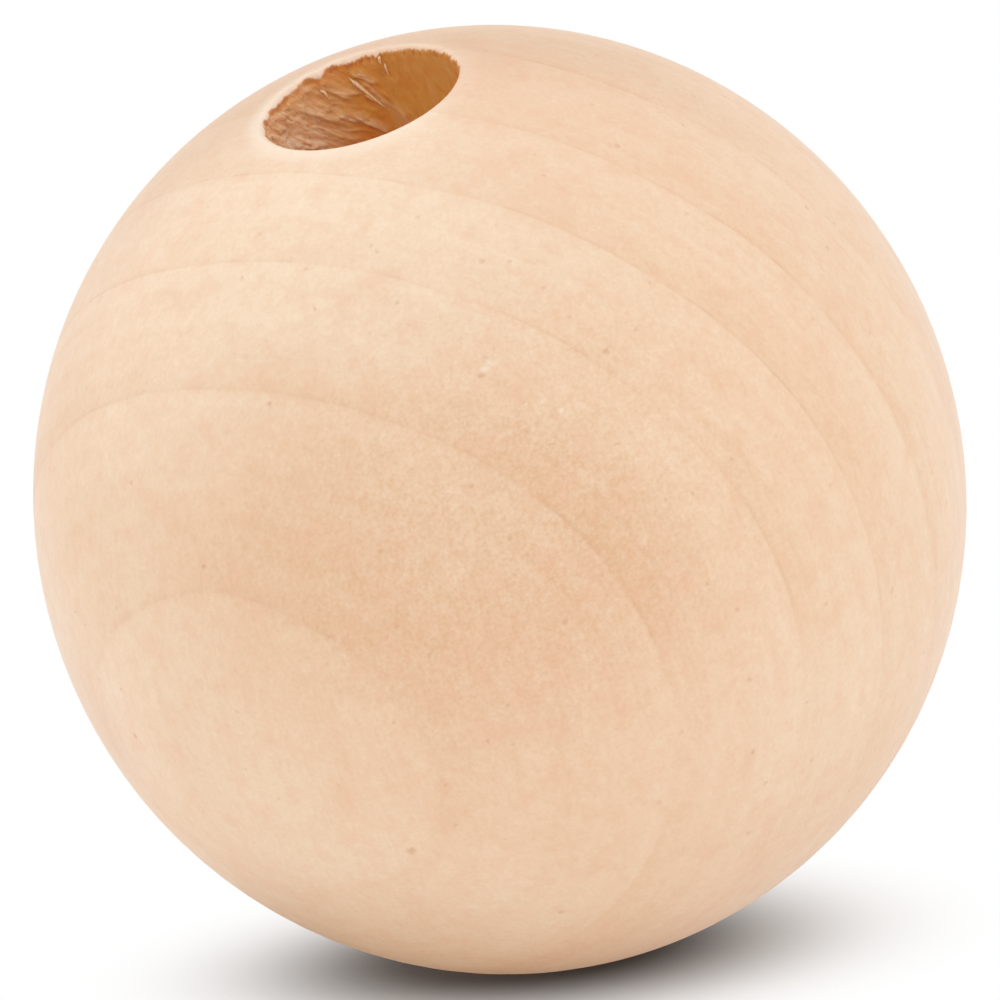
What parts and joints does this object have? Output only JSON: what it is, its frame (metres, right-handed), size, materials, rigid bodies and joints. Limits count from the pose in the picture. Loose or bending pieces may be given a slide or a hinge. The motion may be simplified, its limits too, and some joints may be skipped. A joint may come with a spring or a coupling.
{
  "type": "ball dowel cap",
  "caption": "Turned wooden ball with a blind bore along the grain, pressed and glued over the end of a dowel as its cap.",
  "frame": {"origin": "centre of the ball", "axes": "+Z along the grain and the bore's axis, out of the bore's mouth; +X and +Y are any two directions across the grain"},
  "size_m": [0.0444, 0.0444, 0.045],
  "materials": {
    "birch": "sanded, unfinished"
  },
  "bodies": {
    "root": {"ball_cap": "birch"}
  },
  "joints": []
}
